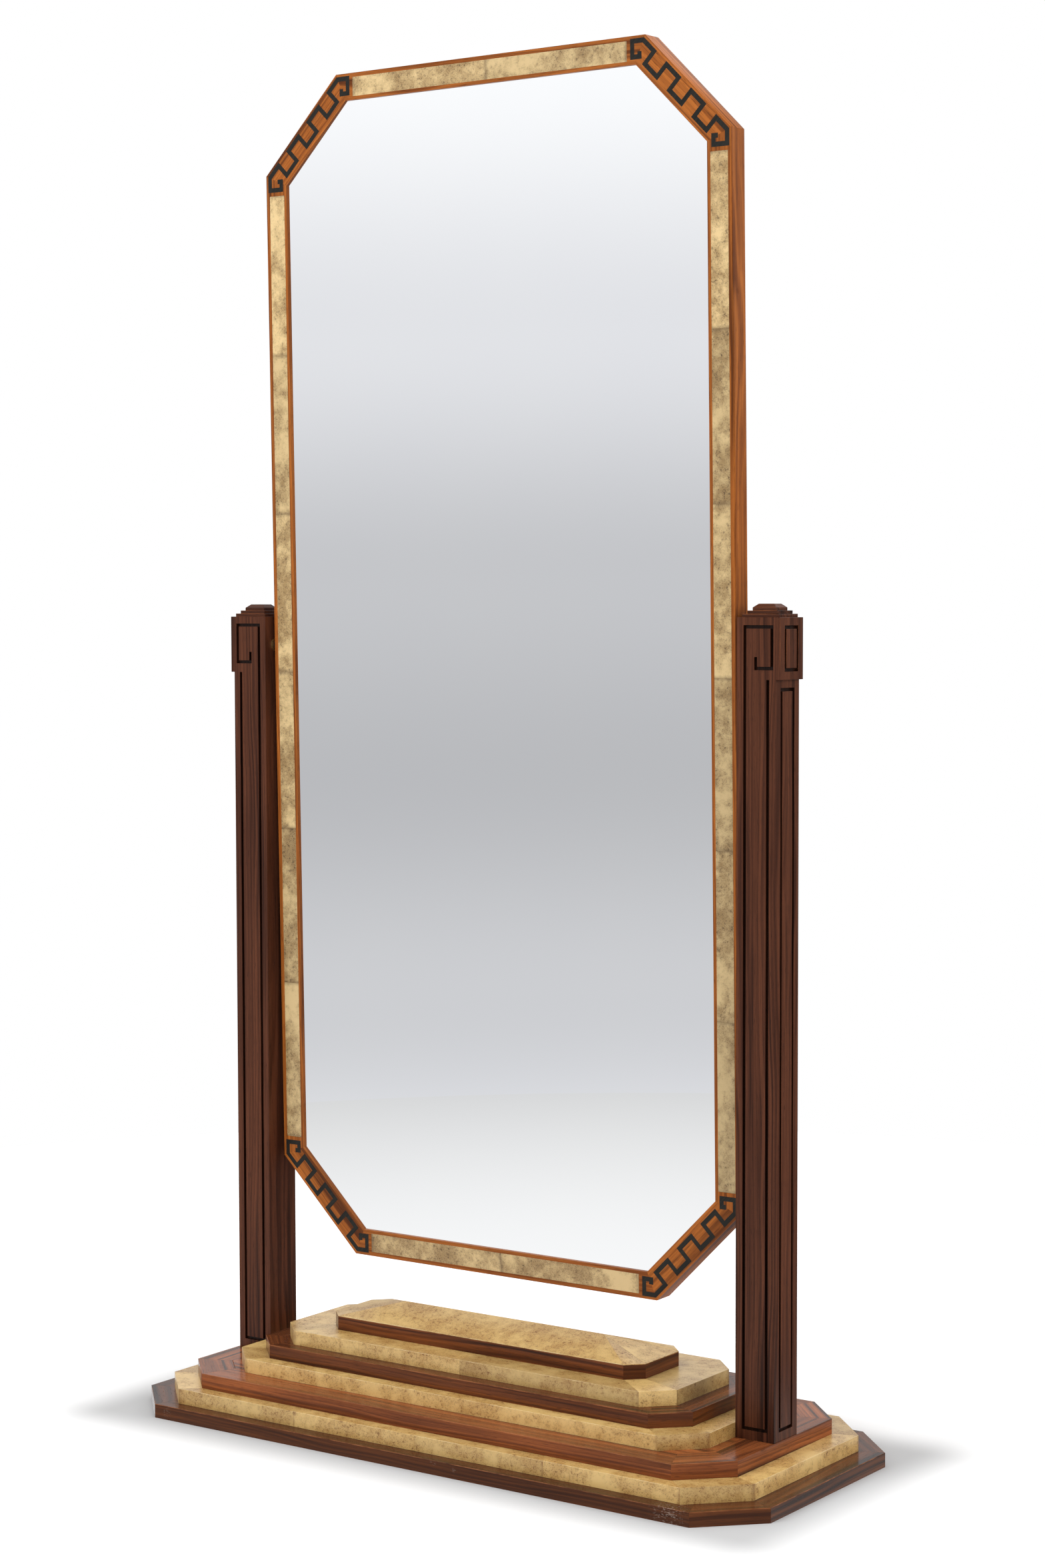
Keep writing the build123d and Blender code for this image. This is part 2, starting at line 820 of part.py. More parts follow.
for name, strip in strips.items():
    x, y = strip.centre
    panel_length = strip.length / strip.panels
    panels = []
    for j in range(strip.panels):
        shift = (j - (strip.panels - 1) / 2) * panel_length
        with BuildPart() as panel:
            with BuildSketch(face_plane.offset(-strip_thickness)):
                with Locations((x, y + shift) if strip.upright else (x + shift, y)):
                    Rectangle(panel_length, strip_width, rotation=90 if strip.upright else 0)
            extrude(amount=strip_thickness)
        panels.append(panel.part)
    save(f"{name}_parchment", *panels)

splines = []
for place in spline_places:
    with BuildPart() as spline:
        with BuildSketch(face_plane.offset(-spline_depth - spline_thickness)):
            with Locations(place):
                Rectangle(spline_width, spline_length)
        extrude(amount=spline_thickness)
    splines.append(spline.part)
save("mitre_splines", *splines)

# Glass, its beads, and the back panel with its screws
with BuildPart() as mirror_glass:
    with BuildSketch(face_plane.offset(-frame_lip - glass_thickness)):
        Polygon(*mirror_outline(glass_rebate + glass_clearance), align=None)
    extrude(amount=glass_thickness)
save("mirror_glass", mirror_glass.part)

bead_outer = mirror_outline(glass_rebate)
bead_inner = mirror_outline(glass_rebate + bead_width)
beads = []
for k in range(len(bead_outer)):
    n = (k + 1) % len(bead_outer)
    with BuildPart() as bead:
        with BuildSketch(face_plane.offset(-frame_lip - glass_thickness)):
            Polygon(bead_outer[k], bead_outer[n], bead_inner[n], bead_inner[k], align=None)
        extrude(amount=-bead_height)
    beads.append(bead.part)
save("glazing_beads", *beads)

with BuildPart() as back_panel:
    with BuildSketch(face_plane.offset(-panel_front)):
        Polygon(*mirror_outline(panel_rebate + back_panel_clearance), align=None)
        with Locations(*panel_screw_points):
            Circle(panel_screw_diameter / 2 + screw_hole_clearance, mode=Mode.SUBTRACT)
    extrude(amount=-back_panel_thickness)
save("back_panel", back_panel.part)

panel_back = face_plane.offset(-panel_front - back_panel_thickness)
panel_screws = []
for point in panel_screw_points:
    with BuildPart() as panel_screw:
        with BuildSketch(panel_back):
            with Locations(point):
                Circle(panel_screw_diameter / 2)
        extrude(amount=panel_screw_length)
        with BuildSketch(panel_back):
            with Locations(point):
                Circle(panel_screw_head_diameter / 2)
        extrude(amount=-panel_screw_head_height)
    panel_screws.append(panel_screw.part)
save("back_panel_screws", *panel_screws)
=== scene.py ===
import json
import math
import random

import bmesh
import bpy
from mathutils import Matrix, Vector


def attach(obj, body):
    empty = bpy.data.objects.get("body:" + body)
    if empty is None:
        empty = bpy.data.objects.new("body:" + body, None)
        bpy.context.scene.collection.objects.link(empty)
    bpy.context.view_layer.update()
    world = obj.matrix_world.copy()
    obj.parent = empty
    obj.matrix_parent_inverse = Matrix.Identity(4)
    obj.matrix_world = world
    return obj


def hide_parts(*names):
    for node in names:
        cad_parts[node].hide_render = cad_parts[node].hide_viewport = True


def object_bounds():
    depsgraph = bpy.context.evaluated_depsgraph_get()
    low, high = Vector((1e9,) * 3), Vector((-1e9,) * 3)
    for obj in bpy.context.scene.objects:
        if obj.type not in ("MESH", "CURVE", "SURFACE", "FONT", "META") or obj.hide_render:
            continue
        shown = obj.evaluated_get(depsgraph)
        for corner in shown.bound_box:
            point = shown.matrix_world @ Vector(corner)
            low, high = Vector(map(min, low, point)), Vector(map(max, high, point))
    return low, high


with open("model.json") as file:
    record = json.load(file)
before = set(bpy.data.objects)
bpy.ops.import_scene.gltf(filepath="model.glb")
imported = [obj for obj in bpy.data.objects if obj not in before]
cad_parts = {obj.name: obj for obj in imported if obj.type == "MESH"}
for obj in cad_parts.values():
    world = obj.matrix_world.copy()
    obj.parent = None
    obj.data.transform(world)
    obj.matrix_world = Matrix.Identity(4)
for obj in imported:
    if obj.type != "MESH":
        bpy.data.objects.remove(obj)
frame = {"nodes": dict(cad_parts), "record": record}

nodes = frame["nodes"]
bodies = frame["record"]["behaviour"]["bodies"]
scene = bpy.context.scene
model_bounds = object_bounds()

# A cheval mirror: a stepped base of rosewood and parchment tiers, two grooved rosewood posts, and
# an octagonal inlaid mirror that tilts between them. Each section below is one part of it.


# ---- The viewpoint
# A long lens at standing height, in front of the mirror and well to its right, aimed slightly
# down. Its focal length was fitted in pixels of the picture.
eye = Vector((2.4719, -3.4393, 1.1836))
turn_left, look_up, roll = 0.616, -0.061, -0.0025
ahead = Vector((
    -math.sin(turn_left) * math.cos(look_up),
    math.cos(turn_left) * math.cos(look_up),
    math.sin(look_up),
))
level_right = Vector((math.cos(turn_left), math.sin(turn_left), 0))
level_up = level_right.cross(ahead)
view_right = math.cos(roll) * level_right + math.sin(roll) * level_up
view_up = math.cos(roll) * level_up - math.sin(roll) * level_right

film_height = 24
focal_length_in_pixels = 4522.9
picture_height_in_pixels = 2353
lens = bpy.data.cameras.new("viewpoint")
lens.sensor_fit = "VERTICAL"
lens.sensor_height = film_height
lens.lens = film_height * focal_length_in_pixels / picture_height_in_pixels
viewpoint = bpy.data.objects.new("viewpoint", lens)
viewpoint.matrix_world = Matrix((
    (view_right.x, view_up.x, -ahead.x, eye.x),
    (view_right.y, view_up.y, -ahead.y, eye.y),
    (view_right.z, view_up.z, -ahead.z, eye.z),
    (0, 0, 0, 1),
))
scene.collection.objects.link(viewpoint)
scene.camera = viewpoint
scene.view_settings.view_transform = "Standard"


# ---- Rosewood tiers of the base
# Mitred rails of red-brown rosewood, satin lacquered, with the grain along each rail. Their long
# arrises are eased and worn lighter, and the plinth is scuffed where it is knocked.
def paint(red, green, blue):
    """A colour as read off a painted sample, from 0 to 255, as the light that it gives back."""
    light = []
    for share in (red / 255, green / 255, blue / 255):
        light.append(share / 12.92 if share <= 0.04045 else ((share + 0.055) / 1.055) ** 2.4)
    return (*light, 1)


def put(tree, kind, feeds=None, **settings):
    """Places a shader node. Each feed is a plain value or the socket that it comes from."""
    made = tree.nodes.new("ShaderNode" + kind)
    for name, value in settings.items():
        setattr(made, name, value)
    for name, value in (feeds or {}).items():
        if isinstance(value, bpy.types.NodeSocket):
            tree.links.new(value, made.inputs[name])
        else:
            made.inputs[name].default_value = value
    return made


def sums(tree, operation, first, second=0.0, third=0.0):
    """The result of one sum on numbers."""
    return put(tree, "Math", {0: first, 1: second, 2: third}, operation=operation).outputs[0]


def stretched(tree, vector, scale):
    """A vector with its three parts multiplied by the three scales."""
    return put(tree, "VectorMath", {0: vector, 1: scale}, operation="MULTIPLY").outputs[0]


def mixed(tree, share, first, second, how="MIX"):
    """Two colours laid over each other."""
    made = put(tree, "Mix", data_type="RGBA", blend_type=how)
    for place, value in ((0, share), (6, first), (7, second)):
        if isinstance(value, bpy.types.NodeSocket):
            tree.links.new(value, made.inputs[place])
        else:
            made.inputs[place].default_value = value
    return made.outputs[2]


def cloud(tree, vector, scale, detail=2.0, roughness=0.5):
    """Soft irregular patches, from 0 to 1, so many to the metre."""
    feeds = {"Vector": vector, "Scale": scale, "Detail": detail, "Roughness": roughness}
    return put(tree, "TexNoise", feeds).outputs["Fac"]


def between(tree, value, low, high, low_result=0.0, high_result=1.0):
    """Carries a value smoothly from one range to another."""
    feeds = {0: value, 1: low, 2: high, 3: low_result, 4: high_result}
    return put(tree, "MapRange", feeds, interpolation_type="SMOOTHSTEP").outputs[0]


def effect(name, inputs, outputs):
    """An empty node group with its sockets, and its two end nodes."""
    group = bpy.data.node_groups.new(name, "ShaderNodeTree")
    for in_out, sockets in (("INPUT", inputs), ("OUTPUT", outputs)):
        for socket, kind in sockets:
            group.interface.new_socket(socket, in_out=in_out, socket_type="NodeSocket" + kind)
    return group, group.nodes.new("NodeGroupInput").outputs, group.nodes.new("NodeGroupOutput")


# Wood figure: soft growth rings round a heart that lies beside the board, a few broad dark
# streaks, fine fibres and pores. It reads the board's own lengthways direction, so the grain runs
# with each piece, and the board's own tint, a step of which is half a stop of light.
wood_figure, given, result = effect(
    "wood_figure",
    [("Along", "Vector"), ("Light", "Color"), ("Dark", "Color"), ("Streak", "Color"),
     ("Rings", "Float"), ("Streaks", "Float")],
    [("Color", "Color"), ("Dullness", "Float"), ("Height", "Float")],
)
t = wood_figure
parts = put(t, "SeparateXYZ", {0: given["Along"]}).outputs
wander = cloud(t, stretched(t, given["Along"], (2.2, 14, 14)), 1.0, 2.0)
from_heart = sums(t, "SQRT", sums(t, "MULTIPLY_ADD", parts[1], parts[1],
                                  sums(t, "MULTIPLY", parts[2], parts[2])))
ring_at = sums(t, "MULTIPLY", sums(t, "MULTIPLY_ADD", wander, 0.03, from_heart), given["Rings"])
ring_noise = put(t, "TexNoise", {"W": ring_at, "Scale": 1.0, "Detail": 2.0, "Roughness": 0.5},
                 noise_dimensions="1D").outputs["Fac"]
zones = cloud(t, stretched(t, given["Along"], (3, 26, 26)), 1.0, 2.0)
bands = between(t, sums(t, "MULTIPLY_ADD", ring_noise, 0.55, sums(t, "MULTIPLY", zones, 0.45)),
                0.3, 0.7)
streak_noise = cloud(t, stretched(t, given["Along"], (1.4, 62, 62)), 1.0, 3.0, 0.55)
streak_low = sums(t, "SUBTRACT", 0.72, sums(t, "MULTIPLY", given["Streaks"], 0.3))
streak = between(t, sums(t, "MULTIPLY_ADD", bands, 0.1, streak_noise), streak_low,
                 sums(t, "ADD", streak_low, 0.2))
fibres = cloud(t, stretched(t, given["Along"], (12, 620, 620)), 1.0, 3.0, 0.6)
pore_noise = cloud(t, stretched(t, given["Along"], (60, 1300, 1300)), 1.0, 1.0)
pores = between(t, pore_noise, 0.62, 0.72)
tint = put(t, "Attribute", attribute_name="tint").outputs["Fac"]
by_tint = sums(t, "POWER", 2.0, sums(t, "MULTIPLY", tint, 0.5))
by_fibre = between(t, fibres, 0.3, 0.7, 0.82, 1.16)
wood = mixed(t, bands, given["Light"], given["Dark"])
wood = mixed(t, sums(t, "MULTIPLY", streak, 0.8), wood, given["Streak"])
wood = mixed(t, 1.0, wood, sums(t, "MULTIPLY", by_tint, by_fibre), "MULTIPLY")
wood = mixed(t, sums(t, "MULTIPLY", pores, 0.55), wood, given["Streak"])
t.links.new(wood, result.inputs["Color"])
t.links.new(sums(t, "MULTIPLY_ADD", pores, 0.5, sums(t, "MULTIPLY", fibres, 0.3)),
            result.inputs["Dullness"])
t.links.new(sums(t, "MULTIPLY_ADD", pores, -1.0, sums(t, "MULTIPLY", fibres, 0.25)),
            result.inputs["Height"])

# Worn arrises and painted groove shade: along the eased edges the finish is rubbed through in
# places, and in the grooves the colour is darkened nearly to black as painted shade.
worn_arris_and_groove_shade, given, result = effect(
    "worn_arris_and_groove_shade",
    [("Color", "Color"), ("Bare", "Color"), ("Amount", "Float")],
    [("Color", "Color"), ("Rubbed", "Float")],
)
t = worn_arris_and_groove_shade
place = put(t, "TexCoord").outputs["Object"]
arris = put(t, "Attribute", attribute_name="arris").outputs["Fac"]
rub = between(t, cloud(t, place, 28.0, 4.0, 0.65), 0.34, 0.66)
rub = sums(t, "MULTIPLY", sums(t, "MULTIPLY", rub, arris), given["Amount"])
# Painted shade: the floors and walls of grooves are darkened in the colour, down to a fifth,
# where shade falls in them.
painted_groove_shade = put(t, "Attribute", attribute_name="painted_groove_shade").outputs["Fac"]
shaded_in_grooves = mixed(t, 1.0, given["Color"], between(t, painted_groove_shade, 0.0, 1.0, 1.0, 0.2), "MULTIPLY")
t.links.new(mixed(t, rub, shaded_in_grooves, given["Bare"]), result.inputs["Color"])
t.links.new(rub, result.inputs["Rubbed"])


def use(tree, group, feeds):
    """Places one effect with its own values."""
    made = tree.nodes.new("ShaderNodeGroup")
    made.node_tree = group
    for name, value in feeds.items():
        if isinstance(value, bpy.types.NodeSocket):
            tree.links.new(value, made.inputs[name])
        else:
            made.inputs[name].default_value = value
    return made.outputs


def finish(name):
    """A new material, its node tree and its shader."""
    material = bpy.data.materials.new(name)
    material.use_nodes = True
    tree = material.node_tree
    return material, tree, tree.nodes["Principled BSDF"]


def rosewood(name, light, dark, streak, bare, rings, streaks, worn, polish, turned=None):
    """Lacquered rosewood in the given colours. Its grain runs with each board, or, on a piece
    whose boards have no grain of their own, along X after a turn."""
    material, tree, shader = finish(name)
    if turned is None:
        grain = put(tree, "Attribute", attribute_name="grain").outputs["Vector"]
    else:
        heart = (0, 0.06, 0.045)
        grain = put(tree, "Mapping", {"Vector": put(tree, "TexCoord").outputs["Object"],
                                      "Location": heart, "Rotation": turned}).outputs[0]
    figure = use(tree, wood_figure, {"Along": grain, "Light": light, "Dark": dark,
                                     "Streak": streak, "Rings": rings, "Streaks": streaks})
    edge = use(tree, worn_arris_and_groove_shade, {"Color": figure["Color"], "Bare": bare, "Amount": worn})
    tree.links.new(edge["Color"], shader.inputs["Base Color"])
    rough = between(tree, figure["Dullness"], 0.0, 0.8, polish, polish + 0.22)
    tree.links.new(sums(tree, "MULTIPLY_ADD", edge["Rubbed"], 0.2, rough),
                   shader.inputs["Roughness"])
    bump = put(tree, "Bump", {"Strength": 0.25, "Distance": 0.0003, "Height": figure["Height"]})
    tree.links.new(bump.outputs[0], shader.inputs["Normal"])
    shader.inputs["Specular IOR Level"].default_value = 0.12
    shader.inputs["Coat Weight"].default_value = 0.03
    shader.inputs["Coat Roughness"].default_value = 0.1
    return material


def solids_of(node):
    """The triangles of each solid of a node. They come solid by solid, and a solid is whole once
    each of its edges has been met twice."""
    mesh = nodes[node].data
    whole, current, open_edges = [], set(), set()
    for face in mesh.polygons:
        corners = [tuple(round(c, 6) for c in mesh.vertices[v].co) for v in face.vertices]
        for k in range(len(corners)):
            open_edges ^= {frozenset((corners[k - 1], corners[k]))}
        current.add(face.index)
        if not open_edges:
            whole.append(current)
            current = set()
    return whole


def board(node, chosen):
    """One solid of a node, with its flat faces made whole."""
    same_place, same_plane = 0.000002, math.radians(0.5)
    solid = bmesh.new()
    solid.from_mesh(nodes[node].data)
    spare = [face for face in solid.faces if face.index not in chosen]
    bmesh.ops.delete(solid, geom=spare, context="FACES")
    bmesh.ops.remove_doubles(solid, verts=solid.verts[:], dist=same_place)
    bmesh.ops.dissolve_limit(solid, angle_limit=same_plane, verts=solid.verts[:],
                             edges=solid.edges[:])
    return solid


def lengthways(solid, along=None):
    """The direction of a solid's grain, by its longest edge where none is given, and two
    directions square to it."""
    if along is None:
        longest = max(solid.edges, key=lambda edge: edge.calc_length())
        along = (longest.verts[1].co - longest.verts[0].co).normalized()
    square_to = Vector((0, 0, 1)) if abs(along.z) < 0.9 else Vector((0, 1, 0))
    across = square_to.cross(along).normalized()
    return along, across, along.cross(across)


def bevelled(solid, edges, width, segments):
    """Bevels the edges of a solid, and gives the new faces."""
    made = bmesh.ops.bevel(solid, geom=edges, offset=width, offset_type="OFFSET",
                           segments=segments, profile=0.5, affect="EDGES", clamp_overlap=True,
                           material=-1)
    return made["faces"]


def grooves_of(solid):
    """The floors and walls of the grooves in a solid's front and sides, each with how much
    painted shade it gets, from 0 to 1. A wide sunk panel gets less painted shade than a narrow
    groove."""
    shallowest, deepest, narrow = 0.0005, 0.006, 0.012
    groove, sunk_panel, wall_of_groove = 1.0, 0.3, 0.7
    found = {}
    for out in (Vector((0, -1, 0)), Vector((1, 0, 0)), Vector((-1, 0, 0))):
        outside = max(v.co.dot(out) for v in solid.verts)
        for face in solid.faces:
            depth = outside - face.calc_center_median().dot(out)
            if face.normal.dot(out) > 0.99 and shallowest < depth < deepest:
                width = 2 * face.calc_area() / face.calc_perimeter()
                found[face] = groove if width < narrow else sunk_panel
                for edge in face.edges:
                    if not edge.is_convex:
                        for wall in edge.link_faces:
                            found.setdefault(wall, wall_of_groove)
    return found


dice = random.Random(1931)


def eased(name, node, material, arris=0.0008, seam=0.00015, segments=3, direction=None,
          lowest=-1.0, tone=0.0, darkens=0.0, grooved=False):
    """Stands for a node with the same boards. Their long convex arrises are rounded, their ends
    get a hairline, and every board has its own grain and tint, which darkens by so much a metre
    downwards. Edges below the lowest height stay sharp, and grooves get painted shade where there
    are any."""
    middle_height = 1.0
    whole = bmesh.new()
    for chosen in solids_of(node):
        solid = board(node, chosen)
        along, across, third = lengthways(solid, direction)

        def sharp(edge, angle):
            return (len(edge.link_faces) == 2 and edge.is_convex
                    and edge.calc_face_angle() > math.radians(angle)
                    and max(v.co.z for v in edge.verts) > lowest)

        def runs_along(edge):
            return abs((edge.verts[1].co - edge.verts[0].co).normalized().dot(along)) > 0.99

        ends = [e for e in solid.edges if sharp(e, 25) and not runs_along(e)]
        if seam and ends:
            bevelled(solid, ends, seam, 1)
        rubbed = solid.loops.layers.float.new("arris")
        arrises = [e for e in solid.edges if sharp(e, 60) and runs_along(e)]
        if arris and arrises:
            for face in bevelled(solid, arrises, arris, segments):
                for corner in face.loops:
                    corner[rubbed] = 1.0
        # Painted shade for the grooves, from 0 to 1, kept at each corner.
        sunk = solid.loops.layers.float.new("painted_groove_shade")
        if grooved:
            for face, dark in grooves_of(solid).items():
                for corner in face.loops:
                    corner[sunk] = dark
        grain = solid.verts.layers.float_vector.new("grain")
        ends_at = solid.verts.layers.float_vector.new("ends")
        tint = solid.verts.layers.float.new("tint")
        heart = Vector((dice.uniform(-9, 9), dice.uniform(0.03, 0.11), dice.uniform(0.02, 0.08)))
        middle = sum((v.co for v in solid.verts), Vector()) / len(solid.verts)
        shade = tone + darkens * (middle.z - middle_height) + dice.uniform(-0.35, 0.35)
        half_length = max(abs((v.co - middle).dot(along)) for v in solid.verts)
        for v in solid.verts:
            p = v.co - middle
            v[grain] = Vector((p.dot(along), p.dot(across), p.dot(third))) + heart
            v[ends_at] = (p.dot(along), half_length, 0)
            v[tint] = shade
        part = bpy.data.meshes.new("part")
        solid.to_mesh(part)
        solid.free()
        whole.from_mesh(part)
        bpy.data.meshes.remove(part)
    mesh = bpy.data.meshes.new(name)
    whole.to_mesh(mesh)
    whole.free()
    mesh.materials.append(material)
    piece = bpy.data.objects.new(name, mesh)
    scene.collection.objects.link(piece)
    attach(piece, next(body for body, members in bodies.items() if node in members))
    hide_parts(node)


base_wood = rosewood(
    "base_rosewood", paint(158, 90, 48), paint(98, 52, 29), paint(38, 20, 13),
    bare=paint(176, 112, 70), rings=170.0, streaks=0.5, worn=0.5, polish=0.17,
)
# Knocks on the plinth's front, each with its place and reach: a pale scrape beside the right
# corner, and small chips along it.
front = model_bounds[0][1]
knocks = (
    ((0.425, front, 0.015), 0.034),
    ((0.082, front, 0.0134), 0.006),
    ((0.048, front, 0.017), 0.006),
    ((-0.4345, front, 0.0105), 0.009),
)
tree = base_wood.node_tree
shader = tree.nodes["Principled BSDF"]
place = put(tree, "TexCoord").outputs["Object"]
knocked = 0.0
for knock, reach in knocks:
    away = put(tree, "VectorMath", {0: place, 1: knock}, operation="DISTANCE").outputs["Value"]
    knocked = sums(tree, "MAXIMUM", knocked, between(tree, away, 0.0, reach, 1.0, 0.0))
flakes = cloud(tree, stretched(tree, place, (260, 260, 700)), 1.0, 4.0, 0.7)
bared = sums(tree, "MULTIPLY", between(tree, flakes, 0.53, 0.66), knocked)
lacquered = shader.inputs["Base Color"].links[0].from_socket
tree.links.new(mixed(tree, bared, lacquered, paint(164, 144, 132)), shader.inputs["Base Color"])

tones = {"plinth": -2.6, "deck": 0.1, "upper_step": -1.7, "crown": -1.9}
for tier, tone in tones.items():
    eased(f"{tier}_rails", f"{tier}_frame", base_wood, arris=0.0009,
          lowest=0.004, tone=tone)
    eased(f"{tier}_board", f"{tier}_panel", base_wood, arris=0, seam=0,
          direction=Vector((1, 0, 0)), tone=tone)


# ---- Parchment tiers of the base
# Boards wrapped in lacquered goatskin parchment, in panels that meet in fine stained seams. The
# skin is cream, clouded with brown, and freckled where the hair grew thickest.
parchment_skin, given, result = effect(
    "parchment_skin",
    [("Light", "Color"), ("Dark", "Color"), ("Freckle", "Color"), ("Freckles", "Float"),
     ("Clouds", "Float")],
    [("Color", "Color"), ("Marks", "Float"), ("Height", "Float")],
)
t = parchment_skin
skin = put(t, "Attribute", attribute_name="grain").outputs["Vector"]
shade = put(t, "Attribute", attribute_name="tint").outputs["Fac"]
ends = put(t, "Attribute", attribute_name="ends").outputs["Vector"]
ends = put(t, "SeparateXYZ", {0: ends}).outputs
from_end = sums(t, "SUBTRACT", ends[1], sums(t, "ABSOLUTE", ends[0]))
broad = cloud(t, skin, 11.0, 3.0, 0.6)
patches = cloud(t, skin, 48.0, 5.0, 0.65)
clouding = between(t, sums(t, "MULTIPLY_ADD", broad, 0.8, sums(t, "MULTIPLY", patches, 0.7)),
                   0.58, 0.94)
region = between(t, sums(t, "MULTIPLY_ADD", broad, 0.5, sums(t, "MULTIPLY", patches, 0.5)),
                 0.35, 0.6)
hairs = put(t, "TexVoronoi", {"Vector": skin, "Scale": 430.0}, feature="F1").outputs["Distance"]
hair_dots = between(t, hairs, 0.14, 0.44, 1.0, 0.0)
grit = between(t, cloud(t, skin, 220.0, 4.0, 0.75), 0.52, 0.68)
smudge = between(t, cloud(t, skin, 105.0, 5.0, 0.7), 0.46, 0.68)
dots = sums(t, "MAXIMUM", sums(t, "MULTIPLY", hair_dots, 0.6), grit)
freckle = sums(t, "MULTIPLY", sums(t, "MULTIPLY", dots, region), given["Freckles"])
ragged = sums(t, "MULTIPLY_ADD", patches, -0.009, from_end)
seam_stain = between(t, ragged, -0.0045, 0.0015, 1.0, 0.0)
smudged = sums(t, "MULTIPLY", sums(t, "MULTIPLY", smudge, region), 0.5)
colour = mixed(t, sums(t, "MULTIPLY", clouding, given["Clouds"]), given["Light"], given["Dark"])
colour = mixed(t, smudged, colour, given["Dark"])
colour = mixed(t, sums(t, "MULTIPLY", seam_stain, 0.42), colour, given["Freckle"])
colour = mixed(t, 1.0, colour, between(t, shade, -1.0, 1.0, 0.66, 1.2), "MULTIPLY")
colour = mixed(t, freckle, colour, given["Freckle"])
t.links.new(colour, result.inputs["Color"])
t.links.new(freckle, result.inputs["Marks"])
t.links.new(sums(t, "MULTIPLY_ADD", patches, 0.6, sums(t, "MULTIPLY", freckle, -0.3)),
            result.inputs["Height"])


def parchment(name, light, dark, freckle, freckles, clouds, bare, worn):
    """Lacquered parchment in the given colours."""
    material, tree, shader = finish(name)
    hide = use(tree, parchment_skin, {"Light": light, "Dark": dark, "Freckle": freckle,
                                      "Freckles": freckles, "Clouds": clouds})
    edge = use(tree, worn_arris_and_groove_shade, {"Color": hide["Color"], "Bare": bare, "Amount": worn})
    tree.links.new(edge["Color"], shader.inputs["Base Color"])
    tree.links.new(between(tree, hide["Marks"], 0.0, 1.0, 0.36, 0.55), shader.inputs["Roughness"])
    bump = put(tree, "Bump", {"Strength": 0.3, "Distance": 0.0004, "Height": hide["Height"]})
    tree.links.new(bump.outputs[0], shader.inputs["Normal"])
    shader.inputs["Coat Weight"].default_value = 0.25
    shader.inputs["Coat Roughness"].default_value = 0.2
    return material


base_skin = parchment(
    "base_parchment", light=paint(230, 194, 124), dark=paint(178, 132, 66),
    freckle=paint(118, 70, 26), freckles=1.0, clouds=0.6, bare=paint(234, 212, 164), worn=0.8,
)
for tier in ("lower_tier", "middle_tier", "upper_tier", "crown"):
    eased(f"{tier}_skin", f"{tier}_parchment", base_skin, arris=0.0006,
          seam=0.00022, segments=2)

plain_board = rosewood(
    "core_board", paint(176, 142, 100), paint(150, 116, 78), paint(120, 88, 56),
    bare=paint(190, 160, 120), rings=120.0, streaks=0.2, worn=0.0, polish=0.55, turned=(0, 0, 0),
)


def recoat(node, material):
    """Gives a node its finish."""
    slots = nodes[node].data.materials
    if len(slots) == 0:
        slots.append(material)
    for k in range(len(slots)):
        slots[k] = material


for node in ("lower_tier_core", "middle_tier_core", "upper_tier_core", "crown_cap"):
    recoat(node, plain_board)


# ---- Posts
# Solid rosewood posts with a Greek key groove on the front and a grooved panel on the outer side.
# A cheek widens each head, and a stepped cap in three pieces finishes it.
post_wood = rosewood(
    "post_rosewood", paint(98, 56, 37), paint(64, 34, 22), paint(30, 14, 9),
    bare=paint(170, 100, 58), rings=230.0, streaks=0.5, worn=0.6, polish=0.3,
)
upright = Vector((0, 0, 1))
for side in ("left", "right"):
    eased(f"{side}_post_shaft", f"{side}_post", post_wood, arris=0.001,
          seam=0.0004, direction=upright, grooved=True)
    eased(f"{side}_cheek", f"{side}_head_cheek", post_wood, arris=0.0005,
          seam=0.0004, direction=upright, grooved=True)
    for piece in ("cap_base", "cap_step", "cap_finial"):
        eased(f"{side}_{piece}_block", f"{side}_{piece}", post_wood,
              arris=0.0005, seam=0.0005, direction=Vector((1, 0, 0)))


# ---- Mirror frame
# Eight mitred members of lighter, more orange rosewood, locked by splines, with pockets for the
# inlay. The mitres show as hairlines.
frame_wood = rosewood(
    "frame_rosewood", paint(180, 104, 43), paint(130, 69, 26), paint(66, 30, 11),
    bare=paint(214, 160, 104), rings=300.0, streaks=0.5, worn=0.6, polish=0.3,
)
members = ("top_rail", "bottom_rail", "left_stile", "right_stile", "top_left_corner",
           "top_right_corner", "bottom_left_corner", "bottom_right_corner")
for member in members:
    eased(f"{member}_wood", member, frame_wood, arris=0.0006, seam=0.0001,
          segments=2)

frame_skin = parchment(
    "frame_parchment", light=paint(230, 200, 144), dark=paint(150, 117, 68),
    freckle=paint(84, 60, 32), freckles=1.0, clouds=0.85, bare=paint(236, 220, 180), worn=0.3,
)
skins = {"top_rail": (0.0, 0.1), "bottom_rail": (0.0, 0.1), "left_stile": (0.0, 0.1),
         "right_stile": (-0.3, 1.0)}
for member, (tone, darkens) in skins.items():
    eased(f"{member}_skin", f"{member}_parchment", frame_skin, arris=0,
          seam=0.0002, tone=tone, darkens=darkens)

# ---- Greek key inlay
# Strips of black-stained hardwood, let flush into pockets that run across the mitres.
black_wood = rosewood(
    "ebony", paint(42, 41, 37), paint(34, 33, 30), paint(24, 23, 21), bare=paint(80, 84, 76),
    rings=200.0, streaks=0.2, worn=0.0, polish=0.36, turned=(0, math.pi / 4, 0),
)
for level in ("top", "bottom"):
    for side in ("left", "right"):
        recoat(f"{level}_{side}_key_inlay", black_wood)

